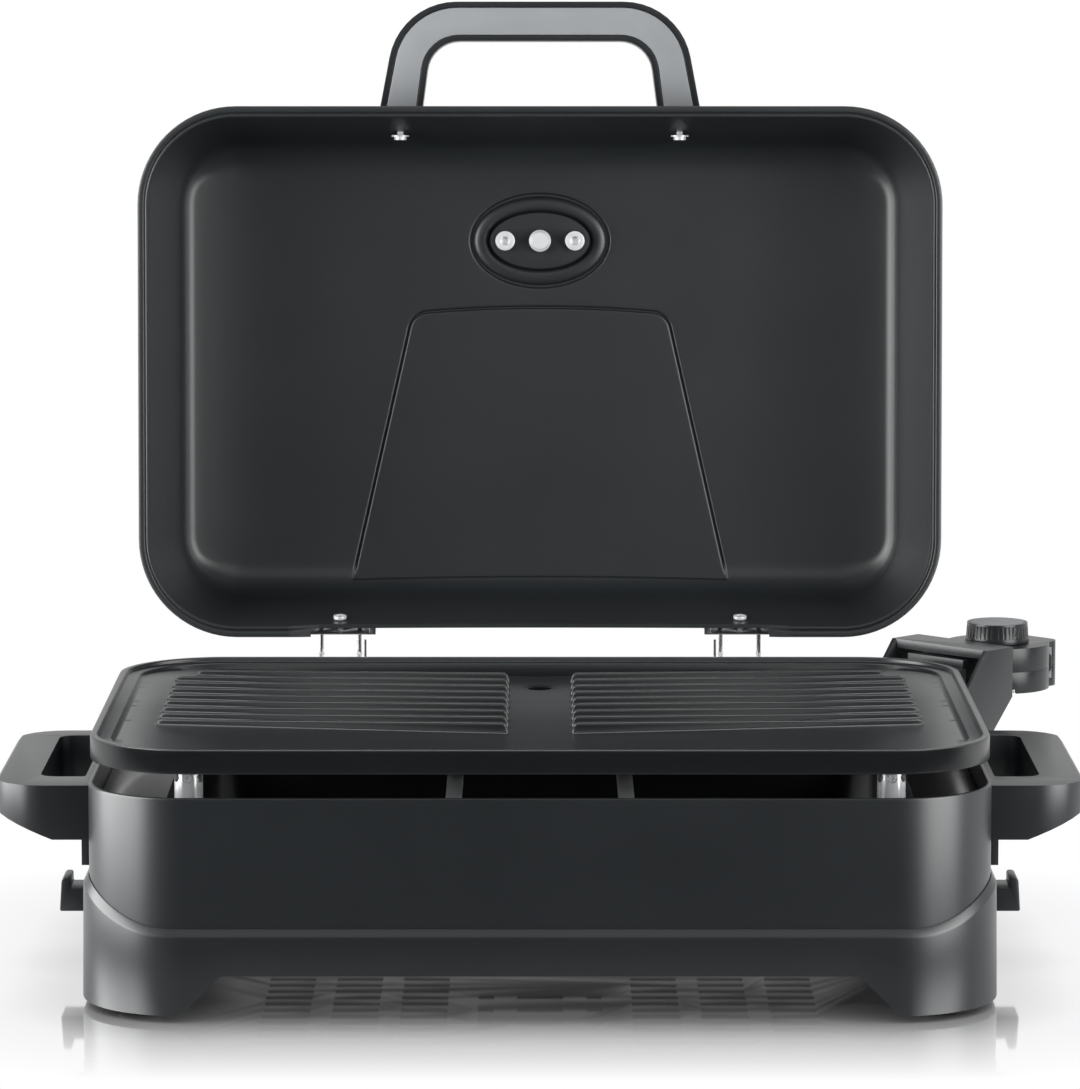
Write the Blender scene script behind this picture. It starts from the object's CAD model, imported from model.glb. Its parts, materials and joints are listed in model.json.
"""Electric indoor grill with lid: meshes, finishes, light and camera round its CAD frame."""

import functools
import json
import math

import bmesh
import bpy
from mathutils import Matrix, Vector
from mathutils.geometry import delaunay_2d_cdt

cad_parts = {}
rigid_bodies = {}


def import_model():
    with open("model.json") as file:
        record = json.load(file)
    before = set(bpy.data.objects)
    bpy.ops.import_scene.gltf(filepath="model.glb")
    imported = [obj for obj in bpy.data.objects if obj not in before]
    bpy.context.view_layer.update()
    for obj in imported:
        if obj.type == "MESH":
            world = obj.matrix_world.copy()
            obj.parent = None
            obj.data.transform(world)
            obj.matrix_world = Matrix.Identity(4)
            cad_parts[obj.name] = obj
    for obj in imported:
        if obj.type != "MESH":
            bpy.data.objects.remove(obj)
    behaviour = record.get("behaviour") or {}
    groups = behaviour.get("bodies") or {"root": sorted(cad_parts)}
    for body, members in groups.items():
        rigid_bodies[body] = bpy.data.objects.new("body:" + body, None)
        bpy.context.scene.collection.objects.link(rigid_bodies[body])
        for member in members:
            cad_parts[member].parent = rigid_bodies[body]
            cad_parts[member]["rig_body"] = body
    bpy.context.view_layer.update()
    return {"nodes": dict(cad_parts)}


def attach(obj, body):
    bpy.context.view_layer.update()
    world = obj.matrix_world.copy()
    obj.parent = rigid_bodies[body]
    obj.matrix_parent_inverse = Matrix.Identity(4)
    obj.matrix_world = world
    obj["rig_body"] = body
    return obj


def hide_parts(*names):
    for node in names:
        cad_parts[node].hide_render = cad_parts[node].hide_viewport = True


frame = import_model()

# ---- Sizes in millimetres, as in the CAD part ----

MM = 0.001
BODY_W, BODY_D, BODY_R = 512.0, 352.0, 61.0
BODY_DRAFT = 0.8
WALL = 3.0
FIT = 0.3
FOOT_H = 4.0
EDGE_Z, EDGE_RISE, RISE_RUN = 48.5, 21.0, 51.0
SHOULDER_H = 4.2
ARCH_HALF, ARCH_Z = 176.0, 26.4
CASING_IN = BODY_DRAFT + WALL + FIT
CASING_Z, RIM_Z, LEDGE_Z, LEDGE_W = 29.8, 125.2, 108.2, 9.0
PLATE_W, PLATE_D, PLATE_R = 502.0, 342.0, 60.0
BAND_Z = 138.2
PLATE_TOP = 151.9
SEAT_Z = 149.5
RIM_W, SEAT_IN = 4.6, 12.0
FLOOR_MID_Z, FLOOR_FALL = 141.6, 6.2
PLATE_T = 4.0
RIB_COUNT, RIB_PITCH, RIB_FRONT_Y = 9, 23.0, -52.0
RIB_IN_X, RIB_OUT_X = 18.0, 218.0
RIB_MID_H, RIB_END_H = 5.8, 2.3
DRAIN_Y, DRAIN_D = 115.0, 14.0
LID_W, LID_D, LID_R, LID_H = 490.4, 324.0, 60.0, 84.0
LIP_Z, LIP_W, LIP_T = 149.8, 4.2, 3.2
LID_T, LID_DRAFT, LID_FILLET = 2.4, math.radians(12), 24.0
LIP_CUT_X, LIP_CUT_H, LIP_CUT_RUN, LIP_CUT_RISE = 134.0, 4.6, 20.0, 1.4
GAUGE_Y = -80.0
HINGE_Y, HINGE_Z, OPEN = 183.0, 140.0, math.radians(94.3)

# ---- Sizes in millimetres of what only this script shapes ----

# How the lid's top sinks towards its sides: how far, between which two distances from the
# middle, how steeply, and from which height on
CROWN, CROWN_FROM, CROWN_TO = 12.0, 120.0, 222.0
CROWN_POWER, CROWN_LOW_Z = 2.5, 25
# The lid's outer fillet at its sides
SIDE_FILLET = 11.0
# Faces in each rounded corner
CORNER_STEPS = 18
# How far the arches reach in from the front and the back, and the mesh lines at their bends
ARCH_IN = 12
ARCH_BEND, ARCH_TOE = 0.8, 4
# The rounded dip at the drain hole, and its width
DRAIN_DIP, DRAIN_DIP_W = 0.8, 4
# How much shorter the rear ribs are, and the length of a rib's rounded end
REAR_RIB_LOSS = 12
RIB_END = 4.0
# Distance from a rib's middle, and its share of the rib's height there
RIB_SECTION = ((0.0, 1.0), (1.3, 1.0), (1.8, 0.97), (2.2, 0.88), (2.5, 0.74), (3.3, 0.24),
               (3.8, 0.07), (4.4, 0.0))
# Spacing of the mesh's inner points on the plate and on the lid's top
PLATE_STEP, LID_STEP = 4.0, 7.0

LID_OPEN = (
    Matrix.Translation((0, HINGE_Y, HINGE_Z))
    @ Matrix.Rotation(-OPEN, 4, "X")
    @ Matrix.Translation((0, -HINGE_Y, -HINGE_Z))
)


def smooth(t):
    """Smooth step from 0 to 1."""
    t = min(1.0, max(0.0, t))
    return t * t * (3 - 2 * t)


def along(table, t):
    """Value between the two nearest rows of a table."""
    if t <= table[0][0]:
        return table[0][1]
    for (t0, v0), (t1, v1) in zip(table, table[1:]):
        if t <= t1:
            return v0 + (v1 - v0) * (t - t0) / (t1 - t0)
    return table[-1][1]


def past_corner(w, d, r, x, y):
    """How far a place lies past the middle of a rounded rectangle's nearest corner, each way."""
    return abs(x) - (w / 2 - r), abs(y) - (d / 2 - r)


def inset_in(w, d, r, x, y):
    """How far a place lies inside a rounded rectangle."""
    px, py = past_corner(w, d, r, x, y)
    if px > 0 and py > 0:
        return r - math.hypot(px, py)
    return r - max(px, py)


# ---- Meshes ----


def stops(half, count, extra=()):
    """Sorted places between -half and half: count even ones and the extra ones."""
    even = [half * (2 * i / (count + 1) - 1) for i in range(1, count + 1)]
    return sorted(set(even) | {x for x in extra if abs(x) < half})


def outline(w, d, r, inset=0.0, xs=(), ys=()):
    """Rounded rectangle drawn in by inset, anticlockwise from the right-hand rear corner."""
    a, b = w / 2 - r, d / 2 - r
    radius = max(r - inset, 0.5)
    a, b = a + (r - inset - radius), b + (r - inset - radius)
    out_x, out_y = a + radius, b + radius
    points = []
    for k, (cx, cy) in enumerate(((a, b), (-a, b), (-a, -b), (a, -b))):
        for i in range(CORNER_STEPS + 1):
            t = math.radians(90 * (k + i / CORNER_STEPS))
            points.append((cx + radius * math.cos(t), cy + radius * math.sin(t)))
        points += (
            [(x, out_y) for x in reversed(xs)],
            [(-out_x, y) for y in reversed(ys)],
            [(x, -out_y) for x in xs],
            [(out_x, y) for y in ys],
        )[k]
    return points


class Piece:
    """A mesh in the making, in millimetres."""

    def __init__(self):
        self.verts, self.faces = [], []

    def ring(self, points):
        """Adds a ring of points and returns their numbers."""
        first = len(self.verts)
        self.verts += [tuple(p) for p in points]
        return list(range(first, len(self.verts)))

    def skin(self, rings, closed=False):
        """Faces between rings that follow one another, their outside on the right."""
        pairs = list(zip(rings, rings[1:]))
        if closed:
            pairs.append((rings[-1], rings[0]))
        for low, high in pairs:
            n = len(low)
            for i in range(n):
                j = (i + 1) % n
                self.faces.append((low[i], low[j], high[j], high[i]))

    def sheet(self, borders, lines, points, height, up=True, keep=None):
        """Fills between loops of present points, with edges along the closed lines.

        height gives the z of each new point, and keep tells which faces stay.
        """
        flat, edges = [], []
        numbers = [i for loop in borders for i in loop]
        loops = [[self.verts[i][:2] for i in loop] for loop in borders] + list(lines)
        for loop in loops:
            first = len(flat)
            flat += [Vector(p) for p in loop]
            edges += [(first + i, first + (i + 1) % len(loop)) for i in range(len(loop))]
        flat += [Vector(p) for p in points]
        places, _, faces, origin, _, _ = delaunay_2d_cdt(flat, edges, [], 1, 1e-3)
        known = {}
        for face in faces:
            middle = sum((places[i] for i in face), Vector((0, 0))) / len(face)
            if keep and not keep(middle.x, middle.y):
                continue
            for i in face:
                if i not in known:
                    own = [n for n in origin[i] if n < len(numbers)]
                    known[i] = numbers[own[0]] if own else len(self.verts)
                    if not own:
                        x, y = places[i]
                        self.verts.append((x, y, height(x, y)))
            corner = [known[i] for i in face]
            self.faces.append(tuple(corner if up else reversed(corner)))

    def build(self, name, body, slot, finish, nodes, matrix=None, sharp=35):
        """Makes the Blender object, which stands for the CAD nodes."""
        mesh = bpy.data.meshes.new(name)
        mesh.from_pydata(self.verts, [], self.faces)
        bm = bmesh.new()
        bm.from_mesh(mesh)
        bmesh.ops.remove_doubles(bm, verts=bm.verts, dist=1e-4)
        loose = [v for v in bm.verts if not v.link_faces]
        bmesh.ops.delete(bm, geom=loose, context="VERTS")
        bmesh.ops.recalc_face_normals(bm, faces=bm.faces)
        bm.to_mesh(mesh)
        bm.free()
        mesh.transform(Matrix.Scale(MM, 4) @ (matrix or Matrix.Identity(4)))
        place(mesh, name, body, slot, finish, nodes, sharp)


def place(mesh, name, body, slot, finish, nodes, sharp):
    """Links a mesh as a piece that rides on a body and stands for CAD nodes.

    Edges over the angle sharp, in degrees, are shaded sharp.
    """
    for polygon in mesh.polygons:
        polygon.use_smooth = True
    mesh.set_sharp_from_angle(angle=math.radians(sharp))
    mesh.materials.clear()
    mesh.materials.append(finish)
    piece = bpy.data.objects.new(name, mesh)
    bpy.context.scene.collection.objects.link(piece)
    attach(piece, body)
    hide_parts(*nodes)


def circle(cx, cy, r, n=40, squash=1.0):
    """Points on a circle or, with squash, on an oval."""
    steps = [2 * math.pi * i / n for i in range(n)]
    return [(cx + r * math.cos(t), cy + squash * r * math.sin(t)) for t in steps]


def rounded(corners, radii, n=8):
    """Outline through the corners, each rounded to its radius, or sharp where that is 0."""
    points = []
    count = len(corners)
    for i in range(count):
        b = Vector(corners[i])
        if not radii[i]:
            points.append(tuple(b))
            continue
        u = (Vector(corners[i - 1]) - b).normalized()
        v = (Vector(corners[(i + 1) % count]) - b).normalized()
        half = math.acos(max(-1.0, min(1.0, u.dot(v)))) / 2
        r = radii[i]
        middle = b + (u + v).normalized() * (r / math.sin(half))
        start = b + u * (r / math.tan(half)) - middle
        end = b + v * (r / math.tan(half)) - middle
        turn = start.angle_signed(end)
        for k in range(n + 1):
            offset = start.copy()
            offset.rotate(Matrix.Rotation(-turn * k / n, 2))
            points.append(tuple(middle + offset))
    return points


# Points of a CAD mesh this near are one, and faces this near to flat are joined. Edges over
# ROUNDED_ANGLE are rounded.
SAME_PLACE_M, FLAT_ANGLE, ROUNDED_ANGLE = 2e-6, math.radians(0.5), math.radians(28)


def dressed(node, slot, finish, bevel, segments):
    """A copy of a CAD node's mesh with its edges rounded, which stands for the node."""
    source = frame["nodes"][node]
    mesh = source.data.copy()
    mesh.name = f"{node}_dressed"
    bm = bmesh.new()
    bm.from_mesh(mesh)
    bmesh.ops.remove_doubles(bm, verts=bm.verts, dist=SAME_PLACE_M)
    bmesh.ops.dissolve_limit(bm, angle_limit=FLAT_ANGLE, verts=bm.verts, edges=bm.edges)
    edges = [e for e in bm.edges if e.is_manifold and e.calc_face_angle(0) > ROUNDED_ANGLE]
    bmesh.ops.bevel(
        bm, geom=edges, offset=bevel * MM, segments=segments, profile=0.5,
        affect="EDGES", clamp_overlap=True, miter_outer="ARC",
    )
    bm.to_mesh(mesh)
    bm.free()
    place(mesh, mesh.name, source["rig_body"], slot, finish, [node], sharp=40)


# ---- Finishes ----


def ramp(nodes, links, value, start, end, low, high, smoothly=False):
    """Takes a value that runs from start to end to the range from low to high."""
    node = nodes.new("ShaderNodeMapRange")
    if smoothly:
        node.interpolation_type = "SMOOTHSTEP"
    node.inputs["From Min"].default_value = start
    node.inputs["From Max"].default_value = end
    node.inputs["To Min"].default_value = low
    node.inputs["To Max"].default_value = high
    links.new(value, node.inputs["Value"])
    return node.outputs["Result"]


# The colour changes between these shares of itself, in clouds of this noise scale
DARKER, LIGHTER = 0.88, 1.12
CLOUD_SCALE, CLOUD_DETAIL = 14, 3
GRAIN_DETAIL, GRAIN_STRENGTH = 2, 0.35


def finish(name, colour, roughness, metallic=0.0, grain=0.35, depth=0.02, spread=0.05,
           streak=(1, 1, 1), specular=0.5):
    """A surface with fine grain in its height and small changes of gloss and colour.

    grain and depth are the grain's width and height in millimetres, spread is how far the
    roughness changes up and down, and streak scales the pattern along each axis.
    """
    material = bpy.data.materials.new(name)
    material.use_nodes = True
    nodes, links = material.node_tree.nodes, material.node_tree.links
    shader = nodes["Principled BSDF"]
    shader.inputs["Metallic"].default_value = metallic
    shader.inputs["Specular IOR Level"].default_value = specular
    where = nodes.new("ShaderNodeTexCoord")
    mapping = nodes.new("ShaderNodeMapping")
    mapping.inputs["Scale"].default_value = streak
    links.new(where.outputs["Object"], mapping.inputs["Vector"])

    def noise(scale, detail):
        node = nodes.new("ShaderNodeTexNoise")
        node.inputs["Scale"].default_value = scale
        node.inputs["Detail"].default_value = detail
        links.new(mapping.outputs["Vector"], node.inputs["Vector"])
        return node

    cloud = noise(CLOUD_SCALE, CLOUD_DETAIL)
    gloss = ramp(nodes, links, cloud.outputs["Fac"], 0, 1, roughness - spread, roughness + spread)
    links.new(gloss, shader.inputs["Roughness"])
    tint = nodes.new("ShaderNodeMix")
    tint.data_type = "RGBA"
    tint.inputs["A"].default_value = (*[c * DARKER for c in colour], 1)
    tint.inputs["B"].default_value = (*[min(1, c * LIGHTER) for c in colour], 1)
    links.new(cloud.outputs["Fac"], tint.inputs["Factor"])
    links.new(tint.outputs["Result"], shader.inputs["Base Color"])
    if depth:
        fine = noise(1 / (grain * MM), GRAIN_DETAIL)
        bump = nodes.new("ShaderNodeBump")
        bump.inputs["Strength"].default_value = GRAIN_STRENGTH
        bump.inputs["Distance"].default_value = depth * MM
        links.new(fine.outputs["Fac"], bump.inputs["Height"])
        links.new(bump.outputs["Normal"], shader.inputs["Normal"])
    return material


HOUSING = finish("housing_charcoal", (0.0085, 0.0108, 0.0128), 0.35, grain=0.5, depth=0.005,
                 spread=0.03, specular=0.8)
CASTING = finish("plate_coating", (0.0095, 0.0115, 0.0132), 0.30, grain=0.8, depth=0.008,
                 specular=0.9)
LID_COAT = finish("lid_coating", (0.0095, 0.0120, 0.0138), 0.42, grain=0.6, depth=0.006,
                  spread=0.03, specular=0.8)
BLACK = finish("base_black", (0.012, 0.013, 0.014), 0.5)
RUBBER = finish("foot_rubber", (0.010, 0.010, 0.010), 0.8, grain=1.0, depth=0.06)
SHELL = finish("handle_shell", (0.014, 0.016, 0.018), 0.34)
FACE = finish("handle_face", (0.24, 0.25, 0.26), 0.42)
STEEL = finish("steel", (0.50, 0.50, 0.51), 0.30, metallic=1.0, depth=0.01, streak=(1, 12, 1))
BRIGHT = finish("bright_steel", (0.72, 0.72, 0.73), 0.16, metallic=1.0, depth=0.0)
STRAP = finish("strap_grey", (0.80, 0.82, 0.83), 0.45, depth=0.01)
ZINC = finish("zinc", (0.72, 0.73, 0.74), 0.32, metallic=0.35, depth=0.004)
TRAY = finish("tray_enamel", (0.015, 0.015, 0.016), 0.3)
ELEMENT = finish("element", (0.12, 0.12, 0.12), 0.5, metallic=0.8)
DIAL = finish("dial_white", (0.70, 0.70, 0.68), 0.5)
INK = finish("pointer_black", (0.01, 0.01, 0.01), 0.4)
CONTROL = finish("controller_black", (0.013, 0.0145, 0.016), 0.30)
CONTROL_GREY = finish("controller_grey", (0.18, 0.19, 0.20), 0.45)
SWITCH = finish("switch_body", (0.45, 0.42, 0.36), 0.6)
BRASS = finish("brass", (0.75, 0.55, 0.22), 0.3, metallic=1.0)


def glass_finish():
    """Clear cover glass."""
    material = bpy.data.materials.new("cover_glass")
    material.use_nodes = True
    shader = material.node_tree.nodes["Principled BSDF"]
    shader.inputs["Base Color"].default_value = (0.95, 0.97, 0.98, 1)
    shader.inputs["Roughness"].default_value = 0.03
    shader.inputs["Transmission Weight"].default_value = 1.0
    shader.inputs["IOR"].default_value = 1.45
    return material


GLASS = glass_finish()

# ---- Lower housing and casing ----


def edge_at(x):
    """Height of the lower housing's edge at x."""
    bend = (RISE_RUN**2 + EDGE_RISE**2) / (2 * EDGE_RISE)
    dx = max(0.0, abs(x) - (BODY_W / 2 - RISE_RUN))
    return EDGE_Z + bend - math.sqrt(max(0.0, bend * bend - dx * dx))


def foot_at(x, y):
    """Height of the lower housing's foot, which the arches lift front and back."""
    if abs(y) < BODY_D / 2 - ARCH_IN:
        return FOOT_H
    slope = FOOT_H + ARCH_HALF + (ARCH_Z - FOOT_H) - abs(x)
    return max(FOOT_H, min(ARCH_Z, slope))


def lower_housing():
    """The skirt, with its curved edge and its arches."""
    piece = Piece()
    arch_foot = ARCH_HALF + ARCH_Z - FOOT_H
    bends = (ARCH_HALF - ARCH_BEND, ARCH_HALF + ARCH_BEND, arch_foot - ARCH_TOE)
    xs = stops(BODY_W / 2 - BODY_R, 24, [s * x for s in (-1, 1) for x in bends])
    ys = stops(BODY_D / 2 - BODY_R, 6)
    plan = outline(BODY_W, BODY_D, BODY_R, 0, xs, ys)

    def ring(inset, height):
        drawn = outline(BODY_W, BODY_D, BODY_R, inset, xs, ys)
        return piece.ring([(x, y, height(*at)) for (x, y), at in zip(drawn, plan)])

    def from_foot(inset, dz):
        return ring(inset, lambda x, y: foot_at(x, y) + dz)

    def from_edge(inset, dz):
        return ring(inset, lambda x, y: edge_at(x) + dz)

    outer = BODY_DRAFT
    inner = BODY_DRAFT + WALL
    rings = [
        from_foot(0.9, 0), from_foot(0.25, 0.25), from_foot(0, 0.9),
        from_edge(outer - 0.05, -1.2), from_edge(outer + 0.08, -0.5), from_edge(outer + 0.35, 0.1),
        from_edge(inner - 0.5, SHOULDER_H - 0.7), from_edge(inner - 0.15, SHOULDER_H - 0.25),
        from_edge(inner, SHOULDER_H - 0.6),
        from_foot(WALL, 0.9), from_foot(WALL - 0.25, 0.25), from_foot(WALL - 0.9, 0),
    ]
    piece.skin(rings, closed=True)
    piece.build("lower_housing_skin", "base", "housing", HOUSING, ["lower_housing"])


def chain(piece, w, d, r, profile, xs=(), ys=()):
    """Rings of one outline at each (inset, z) of a profile."""
    return [
        piece.ring([(x, y, z) for x, y in outline(w, d, r, inset, xs, ys)])
        for inset, z in profile
    ]


def upper_casing():
    """The casing, with a rounded rim and the ledge inside."""
    piece = Piece()
    out, inn = CASING_IN, CASING_IN + WALL
    ledge = inn + LEDGE_W
    profile = [
        (out + 0.6, CASING_Z), (out, CASING_Z + 0.6),
        (out, RIM_Z - 1.1), (out + 0.15, RIM_Z - 0.5), (out + 0.5, RIM_Z - 0.12),
        (out + 1.0, RIM_Z), (inn - 1.0, RIM_Z), (inn - 0.5, RIM_Z - 0.12),
        (inn - 0.15, RIM_Z - 0.5), (inn, RIM_Z - 1.1),
        (inn, LEDGE_Z + 0.5), (inn + 0.5, LEDGE_Z), (ledge - 0.6, LEDGE_Z),
        (ledge, LEDGE_Z - 0.6), (ledge, LEDGE_Z - WALL), (inn, LEDGE_Z - WALL),
        (inn, CASING_Z + WALL), (ledge, CASING_Z + WALL), (ledge, CASING_Z),
    ]
    piece.skin(chain(piece, BODY_W, BODY_D, BODY_R, profile), closed=True)
    piece.build("upper_casing_skin", "base", "housing", HOUSING, ["upper_casing"])


# ---- Grill plate ----


def floor_at(x):
    """Height of the plate's floor, which falls to the middle."""
    return FLOOR_MID_Z + FLOOR_FALL * abs(x) / (PLATE_W / 2 - SEAT_IN)


def plate_height(x, y):
    """Height of the plate's upper side, ribs and drain included."""
    z = floor_at(x)
    hole = math.hypot(x, y - DRAIN_Y) - DRAIN_D / 2
    if hole < DRAIN_DIP_W:
        z -= DRAIN_DIP * (1 - smooth(hole / DRAIN_DIP_W))
    number = round((y - RIB_FRONT_Y) / RIB_PITCH)
    if not 0 <= number < RIB_COUNT:
        return z
    dy = y - RIB_FRONT_Y - number * RIB_PITCH
    outer = RIB_OUT_X - (REAR_RIB_LOSS if number == RIB_COUNT - 1 else 0)
    outwards = (abs(x) - RIB_IN_X) / (RIB_OUT_X - RIB_IN_X)
    height = RIB_MID_H + (RIB_END_H - RIB_MID_H) * outwards
    ends = min(abs(x) - RIB_IN_X, outer - abs(x)) / RIB_END
    ends = math.sqrt(max(0.0, 1 - (1 - min(1.0, max(0.0, ends))) ** 2))
    return z + height * along(RIB_SECTION, abs(dy)) * ends


def grill_plate():
    """The cast plate: band, raised rim, lid seat, sloping floor, ribs and drain hole."""
    piece = Piece()
    floor_in = SEAT_IN + 1.4
    xs = stops(PLATE_W / 2 - PLATE_R, 18, (0.0,))
    ys = stops(PLATE_D / 2 - PLATE_R, 12)
    under = BAND_Z + 0.2
    profile = [
        (PLATE_T, under), (PLATE_T, BAND_Z + 0.6), (PLATE_T - 0.6, BAND_Z),
        (1.0, BAND_Z), (0.3, BAND_Z + 0.3), (0, BAND_Z + 1.0),
        (0, PLATE_TOP - 1.3), (0.2, PLATE_TOP - 0.55), (0.6, PLATE_TOP - 0.12),
        (1.2, PLATE_TOP), (RIM_W - 1.1, PLATE_TOP), (RIM_W - 0.5, PLATE_TOP - 0.15),
        (RIM_W - 0.1, PLATE_TOP - 0.6), (RIM_W + 0.2, SEAT_Z + 0.5),
        (RIM_W + 0.8, SEAT_Z), (SEAT_IN - 0.7, SEAT_Z), (SEAT_IN - 0.2, SEAT_Z - 0.2),
        (SEAT_IN + 0.2, SEAT_Z - 0.8),
    ]
    rings = chain(piece, PLATE_W, PLATE_D, PLATE_R, profile, xs, ys)
    plan = outline(PLATE_W, PLATE_D, PLATE_R, floor_in, xs, ys)
    floor = piece.ring([(x, y, floor_at(x)) for x, y in plan])
    piece.skin(rings + [floor])

    hole = circle(0, DRAIN_Y, DRAIN_D / 2)
    drain = piece.ring([(x, y, plate_height(x, y)) for x, y in hole])
    drain_low = piece.ring([(x, y, under) for x, y in hole])
    piece.skin([drain_low, drain])

    def from_drain(x, y):
        return math.hypot(x, y - DRAIN_Y) - DRAIN_D / 2

    def beside_drain(x, y):
        # The hole is a polygon, whose edges lie a little inside its circle.
        return from_drain(x, y) > -0.04

    x_places = [PLATE_STEP * i for i in range(60)]
    for edge, way in ((RIB_IN_X, 1), (RIB_OUT_X - REAR_RIB_LOSS, -1), (RIB_OUT_X, -1)):
        for turn in (-2, 6, 20, 35, 50, 65, 80, 90):
            x_places.append(edge + way * RIB_END * (1 - math.cos(math.radians(turn))))
    x_places = sorted({round(s * x, 3) for x in x_places for s in (-1, 1)})
    y_places = [-150 + 2 * PLATE_STEP * i for i in range(12)] + [146, 154]
    for i in range(RIB_COUNT):
        middle = RIB_FRONT_Y + i * RIB_PITCH
        y_places += [middle + s * dy for dy, _ in RIB_SECTION for s in (-1, 1)]
        y_places.append(middle + RIB_PITCH / 2)
    y_places = sorted({round(y, 3) for y in y_places})
    floor_size = (PLATE_W - 2 * floor_in, PLATE_D - 2 * floor_in, PLATE_R - floor_in)
    grid = [(x, y) for x in x_places for y in y_places if inset_in(*floor_size, x, y) > 1]
    grid = [p for p in grid if from_drain(*p) > 1]
    grid += [q for r in (8.5, 10, 11.5) for q in circle(0, DRAIN_Y, r, 24)]
    piece.sheet([floor, drain], [], grid, plate_height, keep=beside_drain)
    piece.sheet([rings[0], drain_low], [], [], lambda x, y: under, False, beside_drain)
    piece.build(
        "grill_plate_skin", "base", "plate_coating", CASTING, ["grill_plate"], sharp=50
    )


# ---- Lid ----

# How far in from the rear the cut can reach, and how far apart it leaves the rings
CUT_REACH, CUT_RING_GAP = 12, 0.002
# Where the cut has taken the whole lip
LIP_LOST = LIP_CUT_X + LIP_CUT_RUN * (1 - LIP_T / LIP_CUT_H)
CUT_XS = (LIP_CUT_X - 1, LIP_CUT_X, LIP_LOST - 0.3, LIP_LOST + 0.3, LIP_CUT_X + 12,
          LIP_CUT_X + LIP_CUT_RUN, LIP_CUT_X + LIP_CUT_RUN + 1)
LID_XS = stops(LID_W / 2 - LID_R, 22, [s * x for s in (-1, 1) for x in CUT_XS])
LID_YS = stops(LID_D / 2 - LID_R, 10)
# The drafted walls' run for each millimetre up, and their thickness measured level
SLOPE = math.tan(LID_DRAFT)
THICK = LID_T / math.cos(LID_DRAFT)
# How far in from the lid's outline its flat top begins at the front and the rear
PANEL_IN = LIP_W + (LID_H - LID_FILLET * (1 - math.sin(LID_DRAFT))) * SLOPE
PANEL_IN += LID_FILLET * math.cos(LID_DRAFT)
PANEL_END_Y = LID_D / 2 - PANEL_IN
# Share of the fillet's reach at which its rings end and the sheet with the marks begins
PRESSED_SHARE = 0.7
# The tapered field: half widths, places, the bows of its front and rear, and its corners
FIELD_FRONT_X, FIELD_REAR_X = 80.0, 118.0
FIELD_FRONT_Y, FIELD_REAR_Y = GAUGE_Y + 44.4, PANEL_END_Y + 11.5
FIELD_BOW, FIELD_REAR_BOW = 3.7, 1.9
FIELD_R, FIELD_REAR_R = 13.0, 1.6
FIELD_SLANT = (FIELD_REAR_X - FIELD_FRONT_X) / (FIELD_REAR_Y - FIELD_FRONT_Y)
# Distances inwards from the field's edge at which the sheet bends
FIELD_BENDS = (-0.2, 0.25, 0.7, 1.1)
# Half width and half depth of the oval round the thermometer's stem
OVAL = (43.5, 29.5)
# The marks' tables begin no further out than this, and the groove fades over this length
MARKS_FROM, GROOVE_END = -1.5, 9
# Distance inwards from a mark's edge, and how far the sheet lies behind the panel there
GROOVE = ((-1.4, 0), (-0.8, 0.04), (-0.35, 0.18), (-0.05, 0.5), (0.15, 1.3), (0.45, 1.7),
          (1.05, 1.7), (1.35, 1.3), (1.55, 0.5), (1.85, 0.18), (2.4, 0.04), (3.2, 0))
DISH = ((-1.4, 0), (-0.8, 0.05), (-0.3, 0.25), (0.0, 0.7), (0.2, 1.4), (0.6, 1.8), (1.7, 1.8),
        (2.1, 1.3), (2.35, 0.5), (2.8, -0.2), (3.6, -0.75), (4.8, -1.2), (6.2, -1.5), (7.8, -1.6),
        (9.2, -1.4), (10.3, -0.9), (11.1, -0.2), (11.6, 0.5), (12.1, 0.8), (13.2, 0.8))


def crown(x, z):
    """How far the lid's top sinks towards its sides."""
    share = max(0.0, abs(x) - CROWN_FROM) / (CROWN_TO - CROWN_FROM)
    return -CROWN * share**CROWN_POWER * smooth((z - CROWN_LOW_Z) / (LID_H - CROWN_LOW_Z))


def side_share(x, y):
    """1 on the lid's left and right sides, 0 at its front and rear, in between at its corners."""
    px, py = past_corner(LID_W, LID_D, LID_R, x, y)
    if px > 0 and py > 0:
        return smooth(px * px / (px * px + py * py))
    return 1.0 if px > py else 0.0


def fillet_of(share):
    """The outer fillet's radius, and how far inside the lid's outline it ends."""
    r = LID_FILLET + (SIDE_FILLET - LID_FILLET) * share
    wall = LIP_W + (LID_H - r * (1 - math.sin(LID_DRAFT))) * SLOPE
    return r, wall + r * math.cos(LID_DRAFT)


def lip_cut(x):
    """Height of the cut in the rear lip."""
    share = min(1.0, max(0.0, (LIP_CUT_X + LIP_CUT_RUN - abs(x)) / LIP_CUT_RUN))
    return LIP_CUT_H * share + LIP_CUT_RISE * max(0.0, 1 - (x / LIP_CUT_X) ** 2)


@functools.cache
def lid_outline(inset=0):
    """The lid's outline, drawn in by inset."""
    return outline(LID_W, LID_D, LID_R, inset, LID_XS, LID_YS)


def lid_inset(x, y):
    """How far a place lies inside the lid's outline."""
    return inset_in(LID_W, LID_D, LID_R, x, y)


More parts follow.
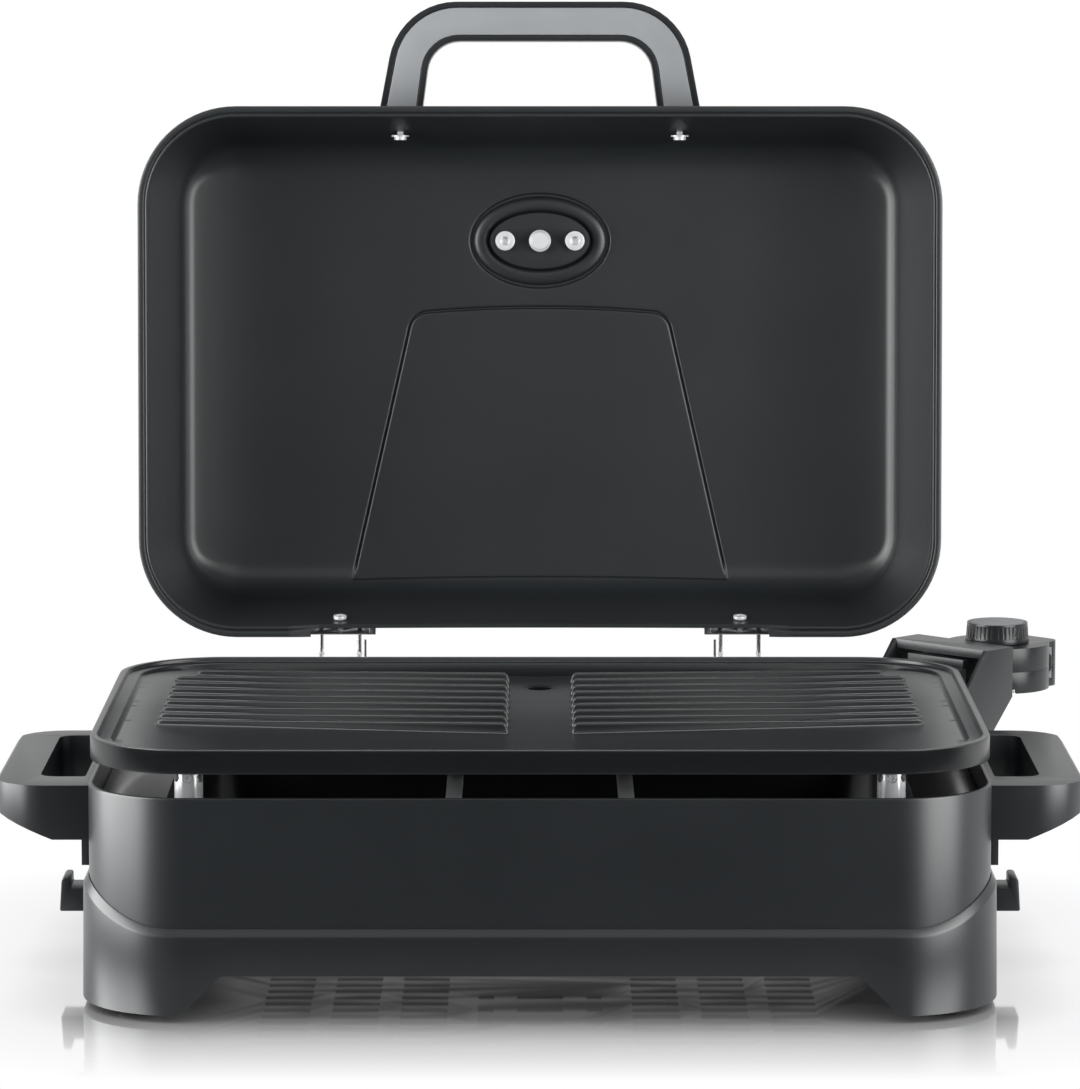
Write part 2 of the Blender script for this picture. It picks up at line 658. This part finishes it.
def lid_ring(piece, where, order):
    """A ring of the lid, cut away at the middle of the rear.

    where is its inset and height, or gives them for a side share. order keeps rings apart
    that the cut takes to one height.
    """
    points = []
    for number, (x, y) in enumerate(lid_outline()):
        inset, z = where(side_share(x, y)) if callable(where) else where
        x, y = lid_outline(inset)[number]
        height, cut = z, lip_cut(x)
        if y > LID_D / 2 - CUT_REACH and abs(x) < LIP_CUT_X + LIP_CUT_RUN and z < cut:
            share = min(1.0, (inset - LIP_W) / THICK)
            if share >= 0 or cut > LIP_T:
                y -= LIP_W + cut * SLOPE + max(0.0, share) * THICK - inset
            height = cut + CUT_RING_GAP * order
        points.append((x, y, LIP_Z + height + crown(x, height)))
    return piece.ring(points)


def lid_top_at(x, y, sheet):
    """Height of the lid's fillet and top, on the outside or a sheet's thickness below it."""
    r, end = fillet_of(side_share(x, y))
    out = max(0.0, end - lid_inset(x, y))
    rise = math.sqrt(max(0.0, (r - sheet) ** 2 - out * out))
    return LIP_Z + LID_H - r + rise + crown(x, LID_H)


def field_loop(inset):
    """Outline of the tapered field behind the thermometer, moved inwards by inset."""
    front_y, rear_y = FIELD_FRONT_Y + inset, FIELD_REAR_Y - inset
    aside = inset * math.hypot(1, FIELD_SLANT)
    front = FIELD_FRONT_X - aside + FIELD_SLANT * inset
    rear = FIELD_REAR_X - aside - FIELD_SLANT * inset
    shares = [i / 8 for i in range(-6, 7)]
    corners = [(front * t, front_y - FIELD_BOW * (1 - t * t)) for t in (-1, *shares, 1)]
    corners += [(rear * t, rear_y - FIELD_REAR_BOW * (1 - t * t)) for t in (1, *shares[::-1], -1)]
    flat = [0] * len(shares)
    front_r, rear_r = FIELD_R - inset, max(0.3, FIELD_REAR_R - inset)
    return rounded(corners, (front_r, *flat, front_r, rear_r, *flat, rear_r))


FIELD_LOOP = [Vector(p) for p in field_loop(0)]
FIELD_SIDES = list(zip(FIELD_LOOP, FIELD_LOOP[1:] + FIELD_LOOP[:1]))


def field_depth(x, y):
    """How far a place lies inside the field's outline, below 0 outside it and roughly far off."""
    place_at = Vector((x, y))
    if not (FIELD_FRONT_Y - 12 < y < FIELD_REAR_Y + 8 and abs(x) < FIELD_REAR_X + 8):
        return -9.0
    nearest, side = 99.0, False
    for a, b in FIELD_SIDES:
        edge, way = b - a, place_at - a
        t = min(1.0, max(0.0, way.dot(edge) / edge.length_squared))
        nearest = min(nearest, (way - edge * t).length)
        if (a.y > y) != (b.y > y) and x < a.x + (y - a.y) / (b.y - a.y) * (b.x - a.x):
            side = not side
    return nearest if side else -nearest


def oval_depth(x, y):
    """How far a place lies inside the oval, below 0 outside it and roughly far off."""
    a, b = OVAL
    reach = math.hypot(x / a, (y - GAUGE_Y) / b)
    if not 0.01 < reach < 1.4:
        return 20.0 if reach < 1 else -9.0
    slope = math.hypot(x / a**2, (y - GAUGE_Y) / b**2) / reach
    return (1 - reach) / slope


def field_share(depth):
    """0 outside the field and 1 inside it, where the sheet runs on flat over the fillet."""
    return smooth((depth + 0.2) / 1.3)


def inside_height(x, y):
    """Height of the lid's inner sheet with its pressed marks, closed."""
    flat = LIP_Z + LID_H - LID_T + crown(x, LID_H)
    z = lid_top_at(x, y, LID_T)
    depth = field_depth(x, y)
    if depth > MARKS_FROM:
        if y > PANEL_END_Y - 1:
            z += (flat - z) * field_share(depth)
        z += along(GROOVE, depth) * smooth((FIELD_REAR_Y - FIELD_REAR_BOW - y) / GROOVE_END)
    oval = oval_depth(x, y)
    if oval > MARKS_FROM:
        z += along(DISH, oval)
    return z


def outside_height(x, y):
    """Height of the lid's outer sheet, closed."""
    z = lid_top_at(x, y, 0)
    if y > PANEL_END_Y - 1:
        flat = LIP_Z + LID_H + crown(x, LID_H)
        z += (flat - z) * field_share(field_depth(x, y) + LID_T)
    return z


def lid_shell():
    """The lid: lip, drafted walls, round fillet and a top with its pressed marks."""
    piece = Piece()

    def on_fillet(sheet, part, share):
        """Inset and height on the fillet, from the wall to where the sheet begins."""
        r, end = fillet_of(share)
        a = LID_DRAFT + (math.acos(PRESSED_SHARE) - LID_DRAFT) * part
        return end - (r - sheet) * math.cos(a), LID_H - r + (r - sheet) * math.sin(a)

    def fillet(sheet):
        return [functools.partial(on_fillet, sheet, i / 7) for i in range(8)]

    walls = (7, 12, 20, 30, 40, 50, 56)
    inside_walls = [(LIP_W + z * SLOPE + THICK, z) for z in (*walls[::-1], 2.5)]
    rim = [
        (LIP_W + THICK + 0.1, 0.7), (LIP_W + THICK - 0.25, 0.15), (LIP_W + THICK - 0.8, 0),
        (LIP_W + 1.0, 0), (LIP_W + 0.6, 0.2), (LIP_W + 0.35, 0.7), (LIP_W, 0.9),
        (LIP_W - 0.35, 0.7), (LIP_W - 0.6, 0.2), (LIP_W - 1.0, 0),
        (0.9, 0), (0.3, 0.25), (0, 0.9), (0, LIP_T - 0.9), (0.3, LIP_T - 0.25), (0.9, LIP_T),
        (LIP_W + LIP_T * SLOPE - 0.5, LIP_T), (LIP_W + LIP_T * SLOPE, LIP_T + 0.5),
    ]
    outside_walls = [(LIP_W + z * SLOPE, z) for z in walls]
    profile = fillet(LID_T)[::-1] + inside_walls + rim + outside_walls + fillet(0)
    rings = [lid_ring(piece, where, order) for order, where in enumerate(profile)]
    piece.skin(rings)

    def steps_in(sheet):
        """Loops on the fillet between its rings and the flat top."""
        loops = []
        for part in (0.62, 0.52, 0.42, 0.32, 0.22, 0.12, 0.0):
            loop = []
            for number, (x, y) in enumerate(lid_outline()):
                r, end = fillet_of(side_share(x, y))
                loop.append(lid_outline(end - (r - sheet) * part)[number])
            loops.append(loop)
        return loops

    grid = [(LID_STEP * i, LID_STEP * j) for i in range(-30, 31) for j in range(-18, 22)]
    grid = [p for p in grid if lid_inset(*p) > fillet_of(side_share(*p))[1] + 2]
    folds = [field_loop(inset) for inset, _ in GROOVE]
    folds += [field_loop(inset) for inset in FIELD_BENDS]
    edge_x, edge_y = OVAL
    for inset, _ in DISH:
        squash = (edge_y - inset) / (edge_x - inset)
        folds.append(circle(0, GAUGE_Y, edge_x - inset, 96, squash))
    # The grid leaves out the marks, where the folds give points enough.
    bare = [p for p in grid if not -2 < field_depth(*p) < 4.5 and not -2 < oval_depth(*p) < 15]
    piece.sheet([rings[0]], steps_in(LID_T) + folds, bare, inside_height, up=False)
    folds = [field_loop(inset - LID_T) for inset in FIELD_BENDS]
    piece.sheet([rings[-1]], steps_in(0) + folds, grid, outside_height)
    piece.build(
        "lid_shell_skin", "lid", "lid_coating", LID_COAT, ["lid_shell"], LID_OPEN, sharp=42
    )


lower_housing()
upper_casing()
grill_plate()
lid_shell()

# ---- CAD nodes with rounded edges ----

# CAD node, material slot, finish, width of the rounding in millimetres, and its faces
DRESSED = (
    ("side_handle_left", "housing", HOUSING, 2.2, 4),
    ("side_handle_right", "housing", HOUSING, 2.2, 4),
    ("shelf_hook_left", "housing", HOUSING, 0.3, 2),
    ("shelf_hook_right", "housing", HOUSING, 0.3, 2),
    ("controller_guard", "housing", HOUSING, 0.6, 3),
    ("lid_handle", "handle_shell", SHELL, 0.8, 3),
    ("lid_handle_face", "handle_face", FACE, 0.6, 3),
    ("bottom_plate", "base_black", BLACK, 0.3, 2),
    ("rubber_feet", "rubber", RUBBER, 0.4, 2),
    ("inner_tub", "steel", STEEL, 0.2, 2),
    ("water_tray", "tray_enamel", TRAY, 0.3, 2),
    ("tray_straps", "strap_grey", STRAP, 0.2, 2),
    ("plate_posts", "bright_steel", ZINC, 0.15, 2),
    ("post_screws", "bright_steel", ZINC, 0.15, 2),
    ("terminal_block", "base_black", BLACK, 0.4, 2),
    ("controller_lower", "controller_black", CONTROL, 0.6, 3),
    ("controller_upper", "controller_black", CONTROL, 0.6, 3),
    ("control_knob", "controller_black", CONTROL, 0.15, 2),
    ("knob_disc", "controller_grey", CONTROL_GREY, 0.15, 2),
    ("grip_inlays", "controller_grey", CONTROL_GREY, 0.15, 2),
    ("release_button_front", "controller_black", CONTROL, 0.15, 2),
    ("release_button_rear", "controller_black", CONTROL, 0.15, 2),
    ("cord_gland", "controller_black", CONTROL, 0.3, 2),
    ("hinge_bracket_left", "steel", STEEL, 0.2, 2),
    ("hinge_bracket_right", "steel", STEEL, 0.2, 2),
    ("hinge_leaves", "steel", STEEL, 0.2, 2),
    ("gauge_plate", "base_black", BLACK, 0.8, 3),
    ("gauge_bezel", "steel", STEEL, 0.2, 2),
    ("gauge_screws", "bright_steel", ZINC, 0.3, 2),
    ("gauge_stem", "bright_steel", ZINC, 0.3, 2),
    ("lid_handle_screws", "bright_steel", ZINC, 0.2, 2),
    ("leaf_screws", "bright_steel", ZINC, 0.2, 2),
    ("guard_screws", "bright_steel", BRIGHT, 0.2, 2),
    ("hinge_screws", "bright_steel", BRIGHT, 0.2, 2),
)
for node, slot_name, surface, bevel, segments in DRESSED:
    dressed(node, slot_name, surface, bevel, segments)

# CAD nodes that stay as they are, with their finish
KEPT = {
    "handle_screws": BRIGHT, "heating_element": ELEMENT, "element_clips": STEEL,
    "terminal_pins": BRIGHT, "hinge_pins": BRIGHT, "split_pins": BRIGHT,
    "hinge_loop_left": BRIGHT, "hinge_loop_right": BRIGHT, "gauge_dial": DIAL,
    "gauge_glass": GLASS, "gauge_pointer": INK, "controller_probe": BRIGHT,
    "contact_sockets": BRASS, "thermostat_switch": SWITCH, "controller_screws": BRIGHT,
    "knob_shaft": BRIGHT,
}
for node, surface in KEPT.items():
    mesh = frame["nodes"][node].data
    for number in range(len(mesh.materials)):
        mesh.materials[number] = surface


# ---- Floor, light and camera ----

scene = bpy.context.scene
scene.view_settings.view_transform = "Standard"

# In metres: the floor mirrors most inside this box, and no more beyond this distance from it
POLISHED_HALF = (0.2, 0.12, 1.0)
POLISHED_REACH = 0.195
# In metres: the floor's width, and the reach of the shade where things stand on it
FLOOR_SIZE, CONTACT_SHADE = 40, 0.05
# The floor's share of mirror at most, and its own colour as it lights the grill
MIRROR = 0.95
FLOOR_GREY = 0.8
# How bright the room in front is to mirrors, where 1 is the white room behind, and how bright
# the whole room is as a light
FRONT_ROOM = 0.04
ROOM_LIGHT = 0.25
# Along Y, where the floor turns from dark to white, and the directions where the room does
FLOOR_TURN, ROOM_TURN = (-0.35, 0.05), (-0.25, 0.25)


def highest(nodes, links, values):
    """The highest of several values."""
    total = values[0]
    for value in values[1:]:
        step = nodes.new("ShaderNodeMath")
        step.operation = "MAXIMUM"
        links.new(total, step.inputs[0])
        links.new(value, step.inputs[1])
        total = step.outputs[0]
    return total


def seen_rays(nodes, links):
    """1 for a ray from the camera, a mirror or glass, and otherwise 0."""
    path = nodes.new("ShaderNodeLightPath")
    kinds = ("Is Camera Ray", "Is Glossy Ray", "Is Transmission Ray")
    return highest(nodes, links, [path.outputs[kind] for kind in kinds])


def white_to_camera(nodes, links, value):
    """1 for a ray from the camera, and otherwise the value."""
    path = nodes.new("ShaderNodeLightPath")
    return highest(nodes, links, [path.outputs["Is Camera Ray"], value])


def floor():
    """A pale floor, white where it isn't shaded, and polished near the grill.

    To mirrors it is dark in front of the grill, as the room there is.
    """
    bpy.ops.mesh.primitive_grid_add(x_subdivisions=2, y_subdivisions=2, size=FLOOR_SIZE)
    ground = bpy.context.object
    ground.name = "floor"
    material = bpy.data.materials.new("pale_floor")
    material.use_nodes = True
    nodes, links = material.node_tree.nodes, material.node_tree.links
    nodes.clear()
    out = nodes.new("ShaderNodeOutputMaterial")
    plain = nodes.new("ShaderNodeBsdfDiffuse")
    plain.inputs["Color"].default_value = (FLOOR_GREY, FLOOR_GREY, FLOOR_GREY, 1)
    white = nodes.new("ShaderNodeEmission")
    shade = nodes.new("ShaderNodeAmbientOcclusion")
    shade.inputs["Distance"].default_value = CONTACT_SHADE
    shade.samples = 8
    links.new(shade.outputs["Color"], white.inputs["Color"])
    mirror = nodes.new("ShaderNodeBsdfGlossy")
    mirror.inputs["Color"].default_value = (1, 1, 1, 1)
    mirror.inputs["Roughness"].default_value = 0.05
    where = nodes.new("ShaderNodeTexCoord")
    away = where.outputs["Object"]
    for operation, amount in (("ABSOLUTE", None), ("SUBTRACT", POLISHED_HALF),
                              ("MAXIMUM", (0, 0, 0)), ("LENGTH", None)):
        step = nodes.new("ShaderNodeVectorMath")
        step.operation = operation
        links.new(away, step.inputs[0])
        if amount:
            step.inputs[1].default_value = amount
        away = step.outputs["Value" if operation == "LENGTH" else "Vector"]
    fade = ramp(nodes, links, away, 0, POLISHED_REACH, MIRROR, 0)
    split = nodes.new("ShaderNodeSeparateXYZ")
    links.new(where.outputs["Object"], split.inputs["Vector"])
    room = ramp(nodes, links, split.outputs["Y"], *FLOOR_TURN, FRONT_ROOM, 1)
    links.new(white_to_camera(nodes, links, room), white.inputs["Strength"])
    polished = nodes.new("ShaderNodeMixShader")
    links.new(fade, polished.inputs["Fac"])
    links.new(white.outputs["Emission"], polished.inputs[1])
    links.new(mirror.outputs["BSDF"], polished.inputs[2])
    seen = nodes.new("ShaderNodeMixShader")
    links.new(seen_rays(nodes, links), seen.inputs["Fac"])
    links.new(plain.outputs["BSDF"], seen.inputs[1])
    links.new(polished.outputs["Shader"], seen.inputs[2])
    links.new(seen.outputs["Shader"], out.inputs["Surface"])
    ground.data.materials.append(material)


def world():
    """White behind the grill, and a dim room in front of it."""
    room = bpy.data.worlds.new("studio")
    scene.world = room
    room.use_nodes = True
    nodes, links = room.node_tree.nodes, room.node_tree.links
    nodes.clear()
    out = nodes.new("ShaderNodeOutputWorld")
    where = nodes.new("ShaderNodeTexCoord")
    split = nodes.new("ShaderNodeSeparateXYZ")
    links.new(where.outputs["Generated"], split.inputs["Vector"])
    back = ramp(nodes, links, split.outputs["Y"], *ROOM_TURN, FRONT_ROOM, 1, smoothly=True)
    seen = nodes.new("ShaderNodeBackground")
    links.new(white_to_camera(nodes, links, back), seen.inputs["Strength"])
    dim = nodes.new("ShaderNodeBackground")
    dim.inputs["Strength"].default_value = ROOM_LIGHT
    mix = nodes.new("ShaderNodeMixShader")
    links.new(seen_rays(nodes, links), mix.inputs["Fac"])
    links.new(dim.outputs["Background"], mix.inputs[1])
    links.new(seen.outputs["Background"], mix.inputs[2])
    links.new(mix.outputs["Shader"], out.inputs["Surface"])


def softbox(name, size, at, target, watts):
    """A rectangular lamp at a place that points at its target, in metres."""
    lamp = bpy.data.lights.new(name, "AREA")
    lamp.shape = "RECTANGLE"
    lamp.size, lamp.size_y = size
    lamp.energy = watts
    holder = bpy.data.objects.new(name, lamp)
    holder.location = at
    aim = Vector(target) - Vector(at)
    holder.rotation_euler = aim.to_track_quat("-Z", "Y").to_euler()
    scene.collection.objects.link(holder)
    return holder


def link_plate(state, lamp):
    """Leaves the plate out of what a lamp lights, or has the lamp light the plate alone."""
    group = bpy.data.collections.new(lamp.name + "_plate")
    group.objects.link(bpy.data.objects["grill_plate_skin"])
    group.collection_objects[0].light_linking.link_state = state
    lamp.light_linking.receiver_collection = group


# The camera's place in metres, its tilt down in degrees, and its focal length and the
# picture's height in pixels
EYE, TILT = (0, -3.224, 0.6675), 7.5
FOCAL_PIXELS, PICTURE_H = 5650, 1089


def camera():
    """The photograph's view, with a long lens."""
    lens = bpy.data.cameras.new("camera")
    lens.sensor_fit = "AUTO"
    lens.sensor_width = 36
    lens.lens = lens.sensor_width * FOCAL_PIXELS / PICTURE_H
    lens.clip_end = 100
    eye = bpy.data.objects.new("camera", lens)
    eye.location = EYE
    eye.rotation_euler = (math.radians(90 - TILT), 0, 0)
    scene.collection.objects.link(eye)
    scene.camera = eye


floor()
world()
MIDDLE, PLATE_MIDDLE = (0, 0, 0.22), (0, 0, 0.14)
# The flat plate mirrors a low side lamp at full strength when it is seen from the other side,
# so it has side lamps of its own, higher up.
link_plate("EXCLUDE", softbox("left_box", (1.5, 1.1), (-1.28, -0.22, 0.5), MIDDLE, 42))
link_plate("EXCLUDE", softbox("right_box", (0.9, 1.1), (1.12, -0.72, 0.5), MIDDLE, 21))
link_plate("INCLUDE", softbox("left_high", (1.2, 0.5), (-1.0, -0.2, 1.15), PLATE_MIDDLE, 12))
link_plate("INCLUDE", softbox("right_high", (1.2, 0.5), (1.0, -0.4, 1.15), PLATE_MIDDLE, 8))
softbox("top_box", (1.6, 0.7), (0, 0.4, 1.9), MIDDLE, 10)
softbox("front_box", (1.4, 0.7), (0, -1.4, 1.6), MIDDLE, 2.5)
camera()
